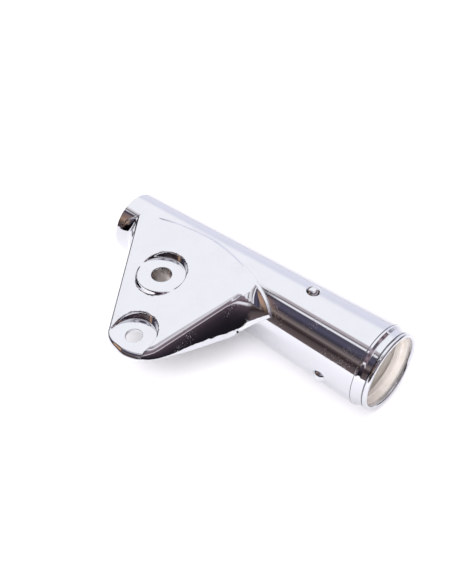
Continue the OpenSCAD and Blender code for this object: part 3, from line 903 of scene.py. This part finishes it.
class BRACKET_OT_plugs(bpy.types.Operator):
    """Makes the two domed plugs: a head cut from a ball of radius (r^2 + h^2) / 2h, a short skirt set into
    the tube and a stem in its hole."""

    bl_idname = "bracket.plugs"
    bl_label = "Domed plugs"

    def execute(self, context):
        s, tube = context.scene.bracket_plugs, context.scene.bracket_tube
        grow = (tube.low_radius - tube.top_radius) / (TUBE_HIGH.x - TUBE_LOW.x)
        r, h, stem = mm(s.head_radius), mm(s.head_height), mm(s.stem_radius)
        ball = (r * r + h * h) / (2 * h)
        span = math.degrees(math.asin(min(1.0, r / ball)))
        dome, dome_n = arc_points((h - ball, 0.0), ball, 0.0, span, 24)
        skirt = np.array([[SKIRT_END, r], [SKIRT_END, stem], [STEM_END, stem], [STEM_END, 0.0]])
        skirt_n = np.array([[0.0, 1.0], [-1.0, 0.0], [-0.3, 1.0], [-1.0, 0.0]])
        points, normals = np.concatenate([dome, skirt]), np.concatenate([dome_n, skirt_n])
        points[[0, -1], 1] = POLE
        v, f, n = revolve(points, normals, PLUG_TURNS, closed=False)
        chrome = bright_chrome("bright_chrome_plugs", context.scene.bracket_finishes.chrome)
        for name, node, along, turn in (
            ("top_dome", "top_plug", s.top_along, s.top_turn),
            ("side_dome", "side_plug", s.side_along, s.side_turn),
        ):
            radius = mm(tube.low_radius + grow * (tube.collar_length - along))
            c, d = math.cos(turn), math.sin(turn)
            spin = np.array([[1, 0, 0], [0, c, -d], [0, d, c]])
            placed = (v @ X_TO_Z.T + [0, 0, radius]) @ spin.T + [-mm(along), 0, 0]
            put_mesh(name, placed, f, [k @ X_TO_Z.T @ spin.T for k in n], node, "plug_chrome", chrome)
        return {"FINISHED"}


def white_table(colour):
    """White laminated table top: bright and dull, with a faint sheen."""
    material, tree = new_material("white_laminate_table")
    dress(tree, {"Base Color": linear(colour), "Roughness": 0.6, "Specular IOR Level": 0.2}, {})
    return material


# the room round the object as (degrees, colour): angles round the X axis from the zenith, growing towards the
# camera's side
TENT_BACK = [(-180, "FCFCFD"), (-130, "FAFAFC"), (-122, "DEDEEA"), (-62, "DADBE6"), (-48, "F2F2F4")]
ROOM_FRONT = TENT_BACK + [
    (6, "F2F2F4"), (9, "B0A6AA"), (14, "A89EA2"), (16, "4A4246"), (17.5, "5A5256"), (18.5, "E8E6EA"),
    (22.5, "EAE8EC"), (24, "4A4652"), (36, "504E60"), (46, "3A3640"), (54, "6A6060"), (58, "7E7270"),
    (63, "4A4040"), (69, "2E2628"), (76, "524848"), (84, "5C5050"), (92, "6C6060"), (96, "F4F4F4"),
    (180, "FCFCFD"),
]
ROOM_UPPER_END = TENT_BACK + [
    (13, "F2F2F4"), (16, "241E1C"), (27, "2A201C"), (34, "A08272"), (52, "CCA488"), (62, "B08C6C"),
    (74, "6E564C"), (80, "2A2020"), (94, "2E2626"), (100, "EEEAE8"), (180, "FCFCFD"),
]
# the same beyond the collar's end and far beyond the upper end, by height over the horizon only
ROOM_COLLAR_SIDE = [
    (-90, "F4F4F4"), (-1, "F4F4F4"), (1, "141216"), (7, "1E1A20"), (15, "342C34"), (26, "54464C"),
    (29, "E6E2E6"), (31.5, "E6E2E6"), (33, "54444A"), (41, "8E7C82"), (47, "4E4048"), (53, "A698A0"),
    (57, "4A4248"), (60, "E8E6EA"), (66, "E8E6EA"), (68, "5A5458"), (71, "F2F2F4"), (90, "FAFAFC"),
]
FAR_HORIZON = [
    (-90, "FFFFFF"), (-3, "FFFFFF"), (-1, "2A2426"), (19, "2E282A"), (22, "EEECEE"), (34, "FFFFFF"),
    (90, "FFFFFF"),
]
TENT_STRENGTH = 1.67


def room_ramp(tree, angle, low, high, stops):
    """A colour ramp over an angle given in radians, with its stops in degrees."""
    ends = {"From Min": math.radians(low), "From Max": math.radians(high)}
    place = add_node(tree, "MapRange", ends, {"Value": angle})
    colours = add_node(tree, "ValToRGB", {}, {"Fac": place.outputs["Result"]})
    elements = colours.color_ramp.elements
    while len(elements) < len(stops):
        elements.new(0.5)
    for element, (degrees, code) in zip(elements, stops):
        element.position = (degrees - low) / (high - low)
        element.color = linear(code)
    return colours.outputs["Color"]


def tent_light(world):
    """The light tent round the object: white cloth, open on the camera's side where the dark room shows.
    It is brown at the object's upper end, blue and grey along the tube and dark past the collar. A direction
    takes its colour from its angle round the X axis, atan2(-y, z), and its height over the horizon, asin z."""
    world.use_nodes = True
    tree = world.node_tree
    tree.nodes.clear()
    place = add_node(tree, "TexCoord")
    x, y, z = add_node(tree, "SeparateXYZ", {}, {"Vector": place.outputs["Generated"]}).outputs
    back = add_node(tree, "Math", {1: -1.0}, {0: y}, operation="MULTIPLY").outputs[0]
    round_x = add_node(tree, "Math", {}, {0: back, 1: z}, operation="ARCTAN2").outputs[0]
    rise = add_node(tree, "Math", {}, {0: z}, operation="ARCSINE").outputs[0]
    front, upper = (room_ramp(tree, round_x, -180, 180, stops) for stops in (ROOM_FRONT, ROOM_UPPER_END))
    side, horizon = (room_ramp(tree, rise, -90, 90, stops) for stops in (ROOM_COLLAR_SIDE, FAR_HORIZON))

    def laid(start, end, under, over, blend="MIX"):
        """One colour laid over another, more and more as x goes from start to end."""
        share = add_node(tree, "MapRange", {"From Min": start, "From Max": end}, {"Value": x})
        links = {0: share.outputs["Result"], 6: under, 7: over}
        return add_node(tree, "Mix", {}, links, data_type="RGBA", blend_type=blend).outputs[2]

    mixed = laid(-0.478, -0.5, front, upper)
    mixed = laid(-0.6, -0.64, mixed, front)
    mixed = laid(-0.62, -0.7, mixed, horizon, "MULTIPLY")
    mixed = laid(0.1, 0.35, mixed, side)
    sky = add_node(tree, "Background", {"Strength": TENT_STRENGTH}, {"Color": mixed})
    add_node(tree, "OutputWorld", {}, {"Surface": sky.outputs["Background"]})


class BRACKET_OT_stage(bpy.types.Operator):
    """Sets the white table, the light tent, two softboxes that no mirror shows and the camera."""

    bl_idname = "bracket.stage"
    bl_label = "Stage"

    def execute(self, context):
        scene, s = context.scene, context.scene.bracket_stage
        half, floor = s.table_half, TUBE_LOW.z
        corners = [(x, y, floor) for x, y in ((-half, -half), (half, -half), (half, half), (-half, half))]
        mesh = bpy.data.meshes.new("table")
        mesh.from_pydata(corners, [], [(0, 1, 2, 3)])
        table = bpy.data.objects.new("table", mesh)
        mesh.materials.append(white_table(scene.bracket_finishes.table))
        scene.collection.objects.link(table)
        world = scene.world or bpy.data.worlds.new("tent")
        scene.world = world
        tent_light(world)
        aim = Vector((-0.11, -0.03, 0))
        for name, size, watts, where in (
            ("overhead_softbox", 1.4, s.overhead, (-0.15, -0.05, 1.3)),
            ("front_softbox", 1.6, s.front, (0.25, -1.3, 0.9)),
        ):
            lamp = bpy.data.lights.new(name, "AREA")
            lamp.shape, lamp.size, lamp.size_y, lamp.energy = "RECTANGLE", size, size, watts
            light = bpy.data.objects.new(name, lamp)
            scene.collection.objects.link(light)
            light.location = where
            light.rotation_mode = "QUATERNION"
            light.rotation_quaternion = (Vector(where) - aim).to_track_quat("Z", "Y")
            light.visible_glossy = False
        camera = bpy.data.cameras.new("camera")
        camera.sensor_fit, camera.sensor_width, camera.lens = "HORIZONTAL", 36.0, s.lens
        camera.clip_start, camera.clip_end = 0.01, 20
        eye = bpy.data.objects.new("camera", camera)
        right = Vector((0.7544, 0.6562, -0.0131)).normalized()
        back = Vector((0.4696, -0.5256, 0.7094)).normalized()
        up = back.cross(right).normalized()
        turn = Matrix((right, up, back)).transposed().to_4x4()
        eye.matrix_world = Matrix.Translation(Vector(s.camera_place)) @ turn
        scene.collection.objects.link(eye)
        scene.camera = eye
        scene.view_settings.view_transform = "Standard"
        return {"FINISHED"}


class BRACKET_PT_panel(bpy.types.Panel):
    """Lists the bracket's operators and sizes in the sidebar."""

    bl_idname = "BRACKET_PT_panel"
    bl_label = "Headlight bracket"
    bl_space_type = "VIEW_3D"
    bl_region_type = "UI"
    bl_category = "Bracket"

    def draw(self, context):
        for operator in OPERATORS:
            self.layout.operator(operator.bl_idname)
        for name in GROUPS:
            group = getattr(context.scene, name)
            box = self.layout.box()
            for key in group.__class__.__annotations__:
                box.prop(group, key)


OPERATORS = (
    BRACKET_OT_stage,
    BRACKET_OT_tube,
    BRACKET_OT_collar,
    BRACKET_OT_ear,
    BRACKET_OT_bush,
    BRACKET_OT_plugs,
)


def register():
    for cls in (*GROUPS.values(), *OPERATORS, BRACKET_PT_panel):
        bpy.utils.register_class(cls)
    for name, cls in GROUPS.items():
        setattr(bpy.types.Scene, name, PointerProperty(type=cls))


def unregister():
    for name in GROUPS:
        delattr(bpy.types.Scene, name)
    for cls in reversed((*GROUPS.values(), *OPERATORS, BRACKET_PT_panel)):
        bpy.utils.unregister_class(cls)


def main():
    """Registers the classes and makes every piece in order."""
    register()
    bpy.ops.bracket.stage()
    bpy.ops.bracket.tube()
    bpy.ops.bracket.collar()
    bpy.ops.bracket.ear()
    bpy.ops.bracket.bush()
    bpy.ops.bracket.plugs()


if __name__ == "__main__":
    main()
